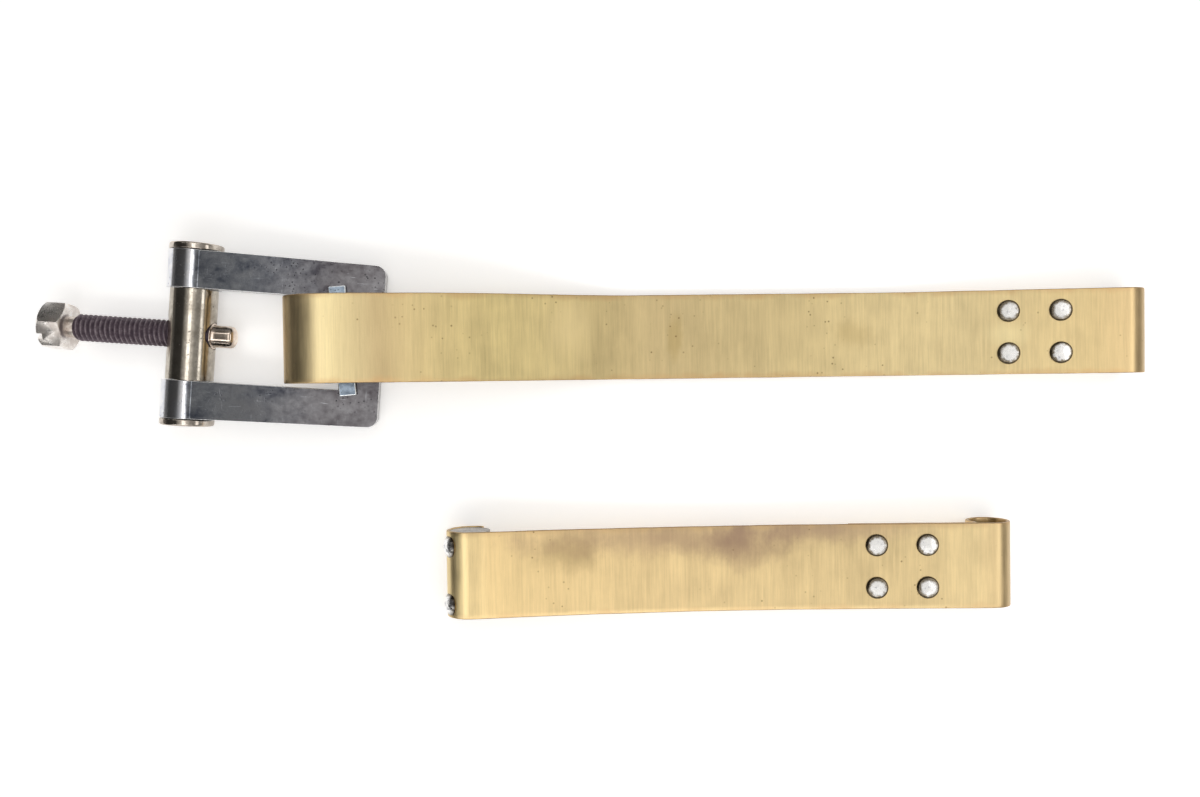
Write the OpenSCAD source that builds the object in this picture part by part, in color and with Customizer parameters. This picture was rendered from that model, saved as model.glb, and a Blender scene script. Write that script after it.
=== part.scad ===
// Screw-tensioned two-strap closer: a long looped strap with a swinging yoke
// and tension screw, and a short strap with a rolled end bar, laid side by side.
// Millimetres, +Z up, both straps along X, origin under the middle of the set.

/* [Straps] */
// Width of both straps
strap_w = 25.4; // [20:0.1:25.4]
// Thickness of the strap metal
strap_t = 1.0; // [0.8:0.05:1.0]
// Outside radius of the rolled anchor eyes
eye_r = 6.35; // [6:0.05:7]
// Distance from the long strap's anchor eye to the centre of its loop end
long_reach = 236.4; // [225:0.1:250]
// Outside half height of the long strap's oval loop end
loop_r = 10.5; // [10.5:0.1:11.5]
// Outside half length of the long strap's oval loop end
loop_a = 13.8; // [13:0.1:14.2]
// Distance from the short strap's anchor eye to its end bar
short_reach = 156.2; // [145:0.1:165]
// Distance between the centre lines of the two straps
strap_gap = 69.4; // [62:0.1:80]
// Air gap between layers of one folded strap
layer_gap = 0.15; // [0.1:0.05:0.2]

/* [Rivets] */
// Head diameter of the strap rivets
rivet_head_d = 6.6; // [6:0.1:7]
// Head height of the strap rivets
rivet_head_h = 1.0; // [0.8:0.1:1.2]
// Shank diameter of all rivets
rivet_d = 4.0; // [3.5:0.1:4.2]
// Pitch of the rivets along the strap
rivet_px = 15.0; // [14:0.1:16]
// Pitch of the rivets across the strap
rivet_py = 12.7; // [11:0.1:13]
// Distance from the long strap's anchor eye to its first rivets
rivet_x0 = 19.3; // [18:0.1:22]
// Distance from the short strap's anchor eye to its first rivets
rivet_x0_short = 20.0; // [18:0.1:21]

/* [Yoke] */
// Length from the trunnion axis to the end of the yoke
yoke_l = 55.25; // [54:0.05:56]
// Clear width between the arms
window_w = 26.8; // [26.8:0.1:27.2]
// Width over both arms at the eyes
yoke_w = 48.8; // [48:0.1:50]
// Width over both arms at the closed end
yoke_w_end = 47.8; // [47:0.1:48.8]
// Thickness of arms and crossbar
yoke_t = 7.0; // [6:0.1:7.1]
// Width of the crossbar along the yoke
crossbar_w = 11.0; // [9:0.1:12]
// Outside radius of the arm eyes
hub_r = 7.6; // [7.2:0.1:7.8]
// Radius of the trunnion pins
pin_r = 4.0; // [3.5:0.1:4]
// Radius of the trunnion pin heads
pin_head_r = 7.6; // [6.5:0.1:7.6]
// Thickness of the trunnion pin heads
pin_head_t = 2.0; // [1.5:0.1:2.5]

/* [Trunnion and screw] */
// Radius of the trunnion barrel
barrel_r = 6.7; // [6.2:0.1:7]
// Major radius of the tension screw
screw_r = 3.97; // [3.9:0.01:4]
// Thread pitch of the tension screw
pitch = 1.411; // [1.25:0.001:1.5]
// Hexagon size across flats of the screw head
head_af = 12.7; // [12:0.1:12.8]
// Radius of the swivel thrust tip
tip_r = 3.3; // [3:0.1:3.4]

/* [Cross key and end bar] */
// Length of the cross key over both ears
key_l = 32.2; // [31:0.1:34]
// Width of the key's ears along the yoke
key_ear = 5.0; // [4:0.1:5.5]
// Thickness of the cross key
key_t = 2.0; // [1.5:0.1:2.2]
// Radius of the short strap's end bar
bar_r = 5.95; // [5.5:0.05:6]

/* [Hidden] */
$fn = 96;

// ---- placement of the pieces at rest ----
mid_x = 0.9;
long_eye_x = 158.0 - mid_x;       // long strap's anchor eye
long_y = 26.55;                   // centre line of the long strap
short_eye_x = 116.8 - mid_x;      // short strap's anchor eye
short_y = long_y - strap_gap;     // centre line of the short strap
long_lean = 8.7;                  // slope of the long strap at its eye
short_lean = 3.0;                 // slope of the short strap at its eye
end_lean = 5.7;                   // slope of the short strap at its end bar
loop_x = long_eye_x - long_reach; // middle of the loop end
bar_x = short_eye_x - short_reach;
roll_r = bar_r + 0.05 + strap_t;  // outside radius of the rolled end

axis_x = -119.94 - mid_x;         // trunnion axis
axis_y = 28.6;
axis_z = hub_r;
yaw = -4.5;                       // the yoke lies slightly askew of the strap
dip = 6.6;                        // and dips towards its crossbar
screw_rise = 0.3;                 // the screw's head rests a little lower than its tip
key_skew = 9.2;                   // the loose key lies askew on the arms

barrel_l = window_w - 0.4;
run = 0.08;                       // running clearance of the pins

// ---- path helpers: points are [x, z] ----
function bez(a, b, c, d, n) = [for (i = [0 : n]) let (s = i / n, q = 1 - s)
    q * q * q * a + 3 * q * q * s * b + 3 * q * s * s * c + s * s * s * d];
function unit(v) = v / norm(v);
function dir(p, i) = unit(p[min(i + 1, len(p) - 1)] - p[max(i - 1, 0)]);
function side(p, d) = [for (i = [0 : len(p) - 1]) let (u = dir(p, i)) p[i] + d * [-u[1], u[0]]];
function flip(p) = [for (i = [len(p) - 1 : -1 : 0]) p[i]];
function band(p, t) = concat(side(p, t / 2), flip(side(p, -t / 2)));
function turn(v, a) = [v[0] * cos(a) - v[1] * sin(a), v[0] * sin(a) + v[1] * cos(a)];
function on_arc(c, r, a) = c + r * [cos(a), sin(a)];

module strip(h = strap_w) { rotate([90, 0, 0]) linear_extrude(height = h, center = true) children(); }

// Points of an arc about c from angle a1 to a2, about 5 degrees apart
function arc(c, r, a1, a2) = let (n = ceil(abs(a2 - a1) / 5))
    [for (i = [0 : n]) on_arc(c, r, a1 + (a2 - a1) * i / n)];
function oval(c, rx, rz, a1, a2) = let (n = ceil(abs(a2 - a1) / 5))
    [for (i = [0 : n]) let (a = a1 + (a2 - a1) * i / n) c + [rx * cos(a), rz * sin(a)]];
function place(pts, at, a) = [for (p = pts) at + turn(p, a)];

// Centre line of a rolled eye and its folded tail; the eye's centre is at the
// origin, the strap comes in at the top from -x and ends in the tail
eye_rc = eye_r - strap_t / 2;
bend_r = 1.5;
tail_z = eye_r - 1.5 * strap_t - layer_gap;
bend_a = asin((tail_z - bend_r) / (eye_rc + bend_r));
bend_c = [-(eye_rc + bend_r) * cos(bend_a), (eye_rc + bend_r) * sin(bend_a)];
bore_r = eye_r - strap_t + 0.03;
function eye_line(tail) = concat(
    arc([0, 0], eye_rc, 90, -180 - bend_a),
    [for (i = [1 : 8]) on_arc(bend_c, bend_r, -bend_a + (90 + bend_a) * i / 8)],
    [[-tail, tail_z]]);

module eye_bore() { rotate([90, 0, 0]) cylinder(r = bore_r, h = strap_w + 2, center = true); }

// Eye holes for the four strap rivets, drilled square to the strap
module rivet_holes(x0) {
    for (i = [0, 1], j = [-1, 1])
        translate([-x0 - i * rivet_px, j * rivet_py / 2, 0])
            cylinder(r = rivet_d / 2 + 0.05, h = 12);
}

module at_long_eye() { translate([long_eye_x, long_y, eye_r]) rotate([0, -long_lean, 0]) children(); }
module at_short_eye() { translate([short_eye_x, short_y, eye_r]) rotate([0, -short_lean, 0]) children(); }

// ---- long strap: one band folded to two layers, loop at -X, eye at +X ----
zt_top = eye_r - strap_t / 2;
zt_low = eye_r - 2.5 * strap_t - 2 * layer_gap;
long_e = [long_eye_x, eye_r];
lay_top = 2.3;
lay_low = strap_t / 2;
long_line = concat(
    [long_e + turn([-12, zt_low], long_lean)],
    bez(long_e + turn([-46, zt_low], long_lean), long_e + turn([-56, zt_low], long_lean),
        [92, lay_low], [80, lay_low], 10),
    oval([loop_x, loop_r], loop_a - strap_t / 2, loop_r - strap_t / 2, 270, 90),
    bez([loop_x + 1, 2 * loop_r - strap_t / 2], [loop_x + 50.7, 2 * loop_r - strap_t / 2],
        [-14, lay_top], [12, lay_top], 24),
    bez([73, lay_top], [87, lay_top], long_e + turn([-59, zt_top], long_lean),
        long_e + turn([-46, zt_top], long_lean), 10),
    place(eye_line(44), long_e, long_lean));

module strap_long() {
    color([0.80, 0.70, 0.42])
    difference() {
        translate([0, long_y, 0]) strip() polygon(band(long_line, strap_t));
        at_long_eye() { rivet_holes(rivet_x0); eye_bore(); }
    }
}

// ---- short strap: single layer, eye at +X, rolled round the end bar at -X ----
short_e = [short_eye_x, eye_r];
bar_c = [bar_x, roll_r];
short_line = concat(
    arc(bar_c, roll_r - strap_t / 2, 300, 90 - end_lean),
    bez(bar_c + turn([0.6, roll_r - strap_t / 2], -end_lean),
        bar_c + turn([38, roll_r - strap_t / 2], -end_lean),
        short_e + turn([-82, zt_top], short_lean), short_e + turn([-43.6, zt_top], short_lean), 28),
    place(eye_line(43), short_e, short_lean));

module bar_rivet_frame(j) {
    translate([bar_x, short_y - 0.4 + j * 8.5, roll_r]) rotate([0, -58, 0]) children();
}

module strap_short() {
    color([0.86, 0.77, 0.52])
    difference() {
        translate([0, short_y, 0]) strip() polygon(band(short_line, strap_t));
        at_short_eye() { rivet_holes(rivet_x0_short); eye_bore(); }
        for (j = [-1, 1]) bar_rivet_frame(j) {
            cylinder(r = rivet_d / 2 + 0.05, h = 12);
            translate([0, 0, roll_r - 0.35]) cylinder(r = 3.6, h = 3);
        }
    }
}

// ---- rivets ----
// Head with a flattened, hammered crown; its seat is at z = 0
module rivet_head(d, h) {
    rotate_extrude() polygon([[0, 0], [d / 2 - 0.1, 0], [d / 2, 0.15], [d / 2 - 0.1, h * 0.55],
        [d / 2 - 0.45, h * 0.85], [d / 2 - 1.1, h], [0, h]]);
}
// Strap rivet: i, j give its place in the pattern; low is the stack's under side
module strap_rivet(i, j, low, x0) {
    color([0.78, 0.78, 0.76])
    translate([-x0 - i * rivet_px, j * rivet_py / 2, 0]) {
        translate([0, 0, eye_r]) rivet_head(rivet_head_d, rivet_head_h);
        translate([0, 0, low]) rotate([180, 0, 0]) rivet_head(rivet_head_d, rivet_head_h);
        translate([0, 0, low - 0.1]) cylinder(r = rivet_d / 2, h = eye_r - low + 0.2);
    }
}
low_long = eye_r - 3 * strap_t - 2 * layer_gap;
low_short = eye_r - 2 * strap_t - layer_gap;
module rivet_long_1() { at_long_eye() strap_rivet(1, 1, low_long, rivet_x0); }
module rivet_long_2() { at_long_eye() strap_rivet(0, 1, low_long, rivet_x0); }
module rivet_long_3() { at_long_eye() strap_rivet(1, -1, low_long, rivet_x0); }
module rivet_long_4() { at_long_eye() strap_rivet(0, -1, low_long, rivet_x0); }
module rivet_short_1() { at_short_eye() strap_rivet(1, 1, low_short, rivet_x0_short); }
module rivet_short_2() { at_short_eye() strap_rivet(0, 1, low_short, rivet_x0_short); }
module rivet_short_3() { at_short_eye() strap_rivet(1, -1, low_short, rivet_x0_short); }
module rivet_short_4() { at_short_eye() strap_rivet(0, -1, low_short, rivet_x0_short); }

// Rivet through strap and end bar; the tail is upset flush in the bar
module bar_rivet(j) {
    color([0.75, 0.75, 0.74])
    bar_rivet_frame(j) {
        rs = (3.4 * 3.4 + 1.7 * 1.7) / (2 * 1.7);
        intersection() {
            translate([0, 0, roll_r - 0.3 + 1.7 - rs]) sphere(r = rs);
            translate([0, 0, roll_r - 0.3]) cylinder(r = 5, h = 3);
        }
        translate([0, 0, -bar_r + 0.3]) cylinder(r = rivet_d / 2, h = roll_r + bar_r - 0.5);
    }
}
module rivet_bar_1() { bar_rivet(1); }
module rivet_bar_2() { bar_rivet(-1); }

// ---- end bar: round bar with a seat for the thrust tip, facing under the strap ----
module end_bar() {
    color([0.60, 0.60, 0.61])
    difference() {
        translate([bar_x, short_y, roll_r]) rotate([90, 0, 0]) cylinder(r = bar_r, h = strap_w - 0.6, center = true);
        for (j = [-1, 1]) bar_rivet_frame(j) translate([0, 0, -10]) cylinder(r = rivet_d / 2 + 0.05, h = 22);
        translate([bar_x + bar_r - 2.5, short_y, roll_r]) rotate([0, 90, 0]) cylinder(r = tip_r + 0.2, h = 5);
    }
}

// ---- yoke ----
module at_yoke() { translate([axis_x, axis_y, axis_z]) rotate([0, 0, yaw]) rotate([0, dip, 0]) children(); }
module along_y(h, r) { rotate([90, 0, 0]) cylinder(r = r, h = h, center = true); }

corner_r = 3.0;
function yoke_outline() = concat(
    [[-0.5, yoke_w / 2]],
    [for (i = [0 : 8]) on_arc([yoke_l - corner_r, yoke_w_end / 2 - corner_r], corner_r, 90 - i * 90 / 8)],
    [for (i = [0 : 8]) on_arc([yoke_l - corner_r, -yoke_w_end / 2 + corner_r], corner_r, -i * 90 / 8)],
    [[-0.5, -yoke_w / 2]]);

arm_top = hub_r - 0.5;
module yoke() {
    color([0.56, 0.57, 0.57])
    at_yoke() difference() {
        union() {
            translate([0, 0, arm_top - yoke_t]) linear_extrude(height = yoke_t) polygon(yoke_outline());
            along_y(yoke_w, hub_r);
        }
        // window, with rounded inner corners
        translate([0, 0, -12]) linear_extrude(height = 24) difference() {
            translate([-12, -window_w / 2]) square([yoke_l - crossbar_w + 12, window_w]);
            for (j = [-1, 1]) translate([yoke_l - crossbar_w, j * window_w / 2]) rotate([0, 0, j > 0 ? 180 : 90])
                difference() { square([1.5, 1.5]); translate([1.5, 1.5]) circle(r = 1.5); }
        }
        along_y(yoke_w + 10, pin_r + run);
    }
}

// ---- trunnion with its two headed pins ----
module at_trunnion() { translate([axis_x, axis_y, axis_z]) rotate([0, 0, yaw]) rotate([0, -screw_rise, 0]) children(); }
pin_in = 5.0;
module trunnion() {
    color([0.62, 0.60, 0.56])
    at_trunnion() difference() {
        along_y(barrel_l, barrel_r);
        rotate([0, 90, 0]) cylinder(r = screw_r + 0.05, h = 30, center = true);
        translate([-barrel_r - 3.9, 0, 0]) rotate([0, 90, 0]) cylinder(r = 5.9, h = 5);
        for (j = [-1, 1]) translate([0, j * (pin_in + 10), 0]) along_y(20, pin_r + 0.02);
    }
}
module pivot_pin(j) {
    color([0.66, 0.64, 0.60])
    at_trunnion() rotate([j > 0 ? -90 : 90, 0, 0]) {
        translate([0, 0, pin_in + 0.1]) cylinder(r = pin_r, h = yoke_w / 2 + 0.25 - pin_in);
        translate([0, 0, yoke_w / 2 + 0.2]) rotate_extrude()
            polygon([[0, 0], [pin_head_r - 0.25, 0], [pin_head_r, 0.25], [pin_head_r, pin_head_t - 0.4],
                     [pin_head_r - 0.4, pin_head_t], [0, pin_head_t]]);
    }
}
module pivot_pin_upper() { pivot_pin(1); }
module pivot_pin_lower() { pivot_pin(-1); }

// ---- tension screw and its swivel thrust tip; s runs along the screw ----
module along_screw() { at_trunnion() rotate([0, 90, 0]) children(); }
thread_a = -33.4;
thread_n = 28;
thread_b = thread_a + thread_n * pitch;
root_r = screw_r - 0.61 * pitch;
head_a = -42.4;
head_b = -35.0;
tip_a = thread_b + 0.3;
tip_b = 11.5;
tip_c = 13.1;
head_rc = head_af / sqrt(3);
thread_profile = concat(
    [[0, head_b - 0.5], [3.12, head_b - 0.5], [3.12, thread_a]],
    [for (k = [0 : thread_n - 1]) each [
        [root_r, thread_a + (k + 0.06) * pitch],
        [screw_r, thread_a + (k + 0.44) * pitch],
        [screw_r, thread_a + (k + 0.56) * pitch],
        [root_r, thread_a + (k + 0.94) * pitch]]],
    [[root_r - 0.3, thread_b], [0, thread_b]]);

module tension_screw() {
    color([0.42, 0.38, 0.38])
    along_screw() difference() {
        union() {
            rotate_extrude() polygon(thread_profile);
            rotate([0, 0, -7]) intersection() {
                translate([0, 0, head_a]) cylinder(r = head_rc, h = head_b - head_a, $fn = 6);
                rotate_extrude() polygon([[0, head_a], [5.0, head_a], [6.1, head_a + 0.35], [head_rc + 0.1, head_a + 1.35],
                    [head_rc + 0.1, head_b - 0.95], [5.9, head_b], [0, head_b]]);
            }
        }
        rotate([0, 0, 32.5]) translate([-10, -0.9, head_a - 1]) cube([20, 1.8, 3]);
        translate([0, 0, thread_b - 8]) cylinder(r = 1.85, h = 10);
    }
}
module thrust_tip() {
    color([0.68, 0.64, 0.58])
    along_screw() {
        translate([0, 0, thread_b - 7.5]) cylinder(r = 1.8, h = tip_a - thread_b + 7.6);
        rotate_extrude() polygon([[0, tip_a], [tip_r - 0.3, tip_a], [tip_r, tip_a + 0.3], [tip_r, tip_b],
            [tip_r - 0.5, tip_b + 0.8], [tip_r - 1.3, tip_c - 0.4], [tip_r - 2.2, tip_c], [0, tip_c]]);
    }
}

// ---- cross key: loose plate with two ears on the arms, inside the loop ----
key_x = 44.06;
module cross_key() {
    color([0.55, 0.58, 0.62])
    at_yoke() translate([key_x, 1.04, arm_top + 0.05]) rotate([0, 0, key_skew]) union() {
        translate([-key_ear / 2, -key_l / 2, 0]) cube([key_ear, key_l, key_t]);
        translate([-key_ear / 2 - 3.6, -12, 0]) cube([key_ear + 3.6, 24, key_t]);
    }
}

strap_long();
rivet_long_1();
rivet_long_2();
rivet_long_3();
rivet_long_4();
yoke();
trunnion();
pivot_pin_upper();
pivot_pin_lower();
thrust_tip();
tension_screw();
cross_key();
strap_short();
rivet_short_1();
rivet_short_2();
rivet_short_3();
rivet_short_4();
end_bar();
rivet_bar_1();
rivet_bar_2();
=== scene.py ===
import math
import random

import bmesh
import bpy
import numpy as np
from mathutils import Matrix, Vector, noise


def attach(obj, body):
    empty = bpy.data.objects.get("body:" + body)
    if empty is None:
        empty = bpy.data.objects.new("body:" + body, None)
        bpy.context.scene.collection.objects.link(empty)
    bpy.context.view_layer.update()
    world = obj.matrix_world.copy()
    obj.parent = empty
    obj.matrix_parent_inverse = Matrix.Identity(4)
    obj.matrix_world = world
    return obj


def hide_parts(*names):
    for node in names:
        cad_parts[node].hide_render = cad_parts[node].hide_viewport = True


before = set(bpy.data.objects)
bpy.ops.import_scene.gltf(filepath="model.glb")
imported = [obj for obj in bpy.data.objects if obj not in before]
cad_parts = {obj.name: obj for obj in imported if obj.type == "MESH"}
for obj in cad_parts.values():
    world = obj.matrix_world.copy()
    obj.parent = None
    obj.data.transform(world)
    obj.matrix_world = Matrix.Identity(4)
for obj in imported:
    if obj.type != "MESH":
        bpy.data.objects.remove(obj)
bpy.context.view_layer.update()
MM = 0.001
scene = bpy.context.scene

# ------------------------------------------------------------------ sizes, mm
STRAP_W, STRAP_T = 25.4, 1.0
EYE_R, LOOP_R, LOOP_A, GAP = 6.35, 10.5, 13.8, 0.15
MID_X = 0.9
LONG_EYE_X, LONG_Y = 158.0 - MID_X, 26.55
SHORT_EYE_X, SHORT_Y = 116.8 - MID_X, 26.55 - 69.4
LONG_LEAN, SHORT_LEAN, END_LEAN = 8.7, 3.0, 5.7
LOOP_X = LONG_EYE_X - 236.4
BAR_X, BAR_R, ROLL_R = SHORT_EYE_X - 156.2, 5.95, 7.0
HUB_R = 7.6
AXIS = (-119.94 - MID_X, 28.6, HUB_R)
YAW, DIP, RISE, KEY_SKEW = -4.5, 6.6, 0.3, 9.2
YOKE_L, WIN_W, YOKE_W, YOKE_W_END, YOKE_T, BAR_W = 55.25, 26.8, 48.8, 47.8, 7.0, 11.0
ARM_TOP = HUB_R - 0.5
PIN_R, PIN_HEAD_R, PIN_HEAD_T = 4.0, 7.6, 2.0
BARREL_R, SCREW_R, PITCH, HEAD_AF, TIP_R = 6.7, 3.97, 1.411, 12.7, 3.3
KEY_L, KEY_EAR, KEY_T, KEY_X = 32.2, 5.0, 2.0, 44.06
RIVET_X0, RIVET_X0_SHORT, RIVET_PX, RIVET_PY = 19.3, 20.0, 15.0, 12.7

rad = math.radians


def T(x, y, z):
    return Matrix.Translation((x, y, z))


def RX(a):
    return Matrix.Rotation(rad(a), 4, "X")


def RY(a):
    return Matrix.Rotation(rad(a), 4, "Y")


def RZ(a):
    return Matrix.Rotation(rad(a), 4, "Z")


M_YOKE = T(*AXIS) @ RZ(YAW) @ RY(DIP)
M_TRUN = T(*AXIS) @ RZ(YAW) @ RY(-RISE)
M_SCREW = M_TRUN @ RY(90)
M_KEY = M_YOKE @ T(KEY_X, 1.04, ARM_TOP + 0.05) @ RZ(KEY_SKEW)
M_LEYE = T(LONG_EYE_X, LONG_Y, EYE_R) @ RY(-LONG_LEAN)
M_SEYE = T(SHORT_EYE_X, SHORT_Y, EYE_R) @ RY(-SHORT_LEAN)


def m_bar(j):
    return T(BAR_X, SHORT_Y - 0.4 + j * 8.5, ROLL_R) @ RY(-58)


# ---------------------------------------------------------------- mesh makers
def new_object(name, verts, faces, matrix=None, smooth=True, face_mats=None):
    """verts in mm in the local frame; the object stands at the frame, in metres."""
    mesh = bpy.data.meshes.new(name)
    mesh.from_pydata([(v[0] * MM, v[1] * MM, v[2] * MM) for v in verts], [], faces)
    mesh.validate()
    mesh.update()
    if face_mats is not None:
        mesh.polygons.foreach_set("material_index", face_mats)
    mesh.polygons.foreach_set("use_smooth", [smooth] * len(mesh.polygons))
    ob = bpy.data.objects.new(name, mesh)
    scene.collection.objects.link(ob)
    if matrix is not None:
        m = matrix.copy()
        m.translation = m.translation * MM
        ob.matrix_world = m
    bpy.context.view_layer.update()
    return ob


def lathe(profile, n=96, close_axis=True):
    """profile: (r, z) from the axis back to the axis. Returns verts and faces about Z."""
    verts, faces, rings = [], [], []
    for r, z in profile:
        if r < 1e-6:
            rings.append([len(verts)])
            verts.append([0, 0, z])
        else:
            start = len(verts)
            rings.append(list(range(start, start + n)))
            for k in range(n):
                a = 2 * math.pi * k / n
                verts.append([r * math.cos(a), r * math.sin(a), z])
    for a, b in zip(rings, rings[1:]):
        for k in range(n):
            k2 = (k + 1) % n
            if len(a) == 1 and len(b) == 1:
                continue
            if len(a) == 1:
                faces.append((a[0], b[k2], b[k]))
            elif len(b) == 1:
                faces.append((a[k], a[k2], b[0]))
            else:
                faces.append((a[k], a[k2], b[k2], b[k]))
    return verts, faces


def fix_normals(ob):
    bm = bmesh.new()
    bm.from_mesh(ob.data)
    bmesh.ops.recalc_face_normals(bm, faces=bm.faces)
    bm.to_mesh(ob.data)
    bm.free()
    ob.data.update()


def crease_by_angle(ob, angle=38):
    """Marks edges sharper than the angle, so smooth shading stays crisp there."""
    bm = bmesh.new()
    bm.from_mesh(ob.data)
    for e in bm.edges:
        e.smooth = not (len(e.link_faces) == 2 and e.calc_face_angle(0) > rad(angle))
    bm.to_mesh(ob.data)
    bm.free()
    ob.data.update()


def prism(name, outline, z0, z1, matrix=None):
    n = len(outline)
    verts = [(x, y, z0) for x, y in outline] + [(x, y, z1) for x, y in outline]
    faces = [tuple(range(n - 1, -1, -1)), tuple(range(n, 2 * n))]
    faces += [(k, (k + 1) % n, n + (k + 1) % n, n + k) for k in range(n)]
    ob = new_object(name, verts, faces, matrix, smooth=False)
    fix_normals(ob)
    return ob


def side_prism(name, outline, y0, y1, matrix=None):
    """outline in x, z; extruded along y."""
    n = len(outline)
    verts = [(x, y0, z) for x, z in outline] + [(x, y1, z) for x, z in outline]
    faces = [tuple(range(n)), tuple(range(2 * n - 1, n - 1, -1))]
    faces += [(k, n + k, n + (k + 1) % n, (k + 1) % n) for k in range(n)]
    ob = new_object(name, verts, faces, matrix, smooth=False)
    fix_normals(ob)
    return ob


def cyl(name, r, z0, z1, matrix=None, n=96):
    verts, faces = lathe([(0, z0), (r, z0), (r, z1), (0, z1)], n)
    ob = new_object(name, verts, faces, matrix, smooth=False)
    fix_normals(ob)
    return ob


def boolean(ob, tool, operation):
    mod = ob.modifiers.new("cut", "BOOLEAN")
    mod.operation = operation
    mod.solver = "EXACT"
    mod.object = tool
    apply_modifiers(ob)
    bpy.data.objects.remove(tool)


def apply_modifiers(ob):
    graph = bpy.context.evaluated_depsgraph_get()
    graph.update()
    mesh = bpy.data.meshes.new_from_object(ob.evaluated_get(graph), depsgraph=graph)
    old = ob.data
    ob.modifiers.clear()
    ob.data = mesh
    mesh.name = ob.name
    if old.users == 0:
        bpy.data.meshes.remove(old)
    bpy.context.view_layer.update()


def soften(ob, width, segments=3, angle=30, shade_angle=38, edge_slot=-1):
    bm = bmesh.new()
    bm.from_mesh(ob.data)
    bmesh.ops.remove_doubles(bm, verts=bm.verts, dist=2e-6)
    bmesh.ops.dissolve_degenerate(bm, edges=bm.edges, dist=2e-6)
    bmesh.ops.dissolve_limit(bm, angle_limit=rad(0.4), verts=bm.verts, edges=bm.edges)
    bm.to_mesh(ob.data)
    bm.free()
    mod = ob.modifiers.new("bevel", "BEVEL")
    mod.width = width * MM
    mod.segments = segments
    mod.limit_method = "ANGLE"
    mod.angle_limit = rad(angle)
    mod.use_clamp_overlap = True
    mod.harden_normals = False
    mod.miter_outer = "MITER_ARC"
    mod.material = edge_slot
    apply_modifiers(ob)
    ob.data.polygons.foreach_set("use_smooth", [True] * len(ob.data.polygons))
    crease_by_angle(ob, shade_angle)
    mod = ob.modifiers.new("weighted", "WEIGHTED_NORMAL")
    mod.keep_sharp = True
    mod.weight = 80


# --------------------------------------------------------------- strap shapes
def turn(v, a):
    a = rad(a)
    return np.array([v[0] * math.cos(a) - v[1] * math.sin(a), v[0] * math.sin(a) + v[1] * math.cos(a)])


def bez(a, b, c, d, n):
    a, b, c, d = (np.array(p, float) for p in (a, b, c, d))
    return [(1 - s) ** 3 * a + 3 * (1 - s) ** 2 * s * b + 3 * (1 - s) * s * s * c + s ** 3 * d
            for s in (i / n for i in range(n + 1))]


def oval(c, rx, rz, a1, a2, n):
    return [np.array([c[0] + rx * math.cos(rad(a)), c[1] + rz * math.sin(rad(a))])
            for a in (a1 + (a2 - a1) * i / n for i in range(n + 1))]


EYE_RC, BEND_R = EYE_R - STRAP_T / 2, 1.5
TAIL_Z = EYE_R - 1.5 * STRAP_T - GAP
BEND_A = math.degrees(math.asin((TAIL_Z - BEND_R) / (EYE_RC + BEND_R)))
BEND_C = (-(EYE_RC + BEND_R) * math.cos(rad(BEND_A)), (EYE_RC + BEND_R) * math.sin(rad(BEND_A)))
ZT_TOP = EYE_R - STRAP_T / 2
ZT_LOW = EYE_R - 2.5 * STRAP_T - 2 * GAP


def eye_line(tail):
    pts = oval((0, 0), EYE_RC, EYE_RC, 90, -180 - BEND_A, 100)
    pts += oval(BEND_C, BEND_R, BEND_R, -BEND_A, 90, 12)[1:]
    x0 = pts[-1][0]
    pts += [np.array([x0 + (-tail - x0) * i / 24, TAIL_Z]) for i in range(1, 25)]
    return pts


def placed(pts, at, a):
    return [np.array(at) + turn(p, a) for p in pts]


def thin_out(pts, least=0.18):
    out = [pts[0]]
    for p in pts[1:]:
        if np.linalg.norm(p - out[-1]) > least:
            out.append(p)
    return out


LONG_E = np.array([LONG_EYE_X, EYE_R])
SHORT_E = np.array([SHORT_EYE_X, EYE_R])
BAR_C = np.array([BAR_X, ROLL_R])
straight = bez((80, 0.5), (27, 0.5), (-26, 0.5), (LOOP_X, 0.5), 110)
long_line = thin_out(
    bez(LONG_E + turn((-12, ZT_LOW), LONG_LEAN), LONG_E + turn((-23, ZT_LOW), LONG_LEAN),
        LONG_E + turn((-35, ZT_LOW), LONG_LEAN), LONG_E + turn((-46, ZT_LOW), LONG_LEAN), 24)
    + bez(LONG_E + turn((-46, ZT_LOW), LONG_LEAN), LONG_E + turn((-56, ZT_LOW), LONG_LEAN), (92, 0.5), (80, 0.5), 24)
    + straight
    + oval((LOOP_X, LOOP_R), LOOP_A - 0.5, LOOP_R - 0.5, 270, 90, 80)
    + bez((LOOP_X + 1, 20.5), (LOOP_X + 50.7, 20.5), (-14, 2.3), (12, 2.3), 90)
    + bez((12, 2.3), (32, 2.3), (53, 2.3), (73, 2.3), 50)
    + bez((73, 2.3), (87, 2.3), LONG_E + turn((-59, ZT_TOP), LONG_LEAN), LONG_E + turn((-46, ZT_TOP), LONG_LEAN), 28)
    + bez(LONG_E + turn((-46, ZT_TOP), LONG_LEAN), LONG_E + turn((-31, ZT_TOP), LONG_LEAN),
          LONG_E + turn((-15, ZT_TOP), LONG_LEAN), LONG_E + turn((-0.4, ZT_TOP), LONG_LEAN), 40)
    + placed(eye_line(44), LONG_E, LONG_LEAN))
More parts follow.
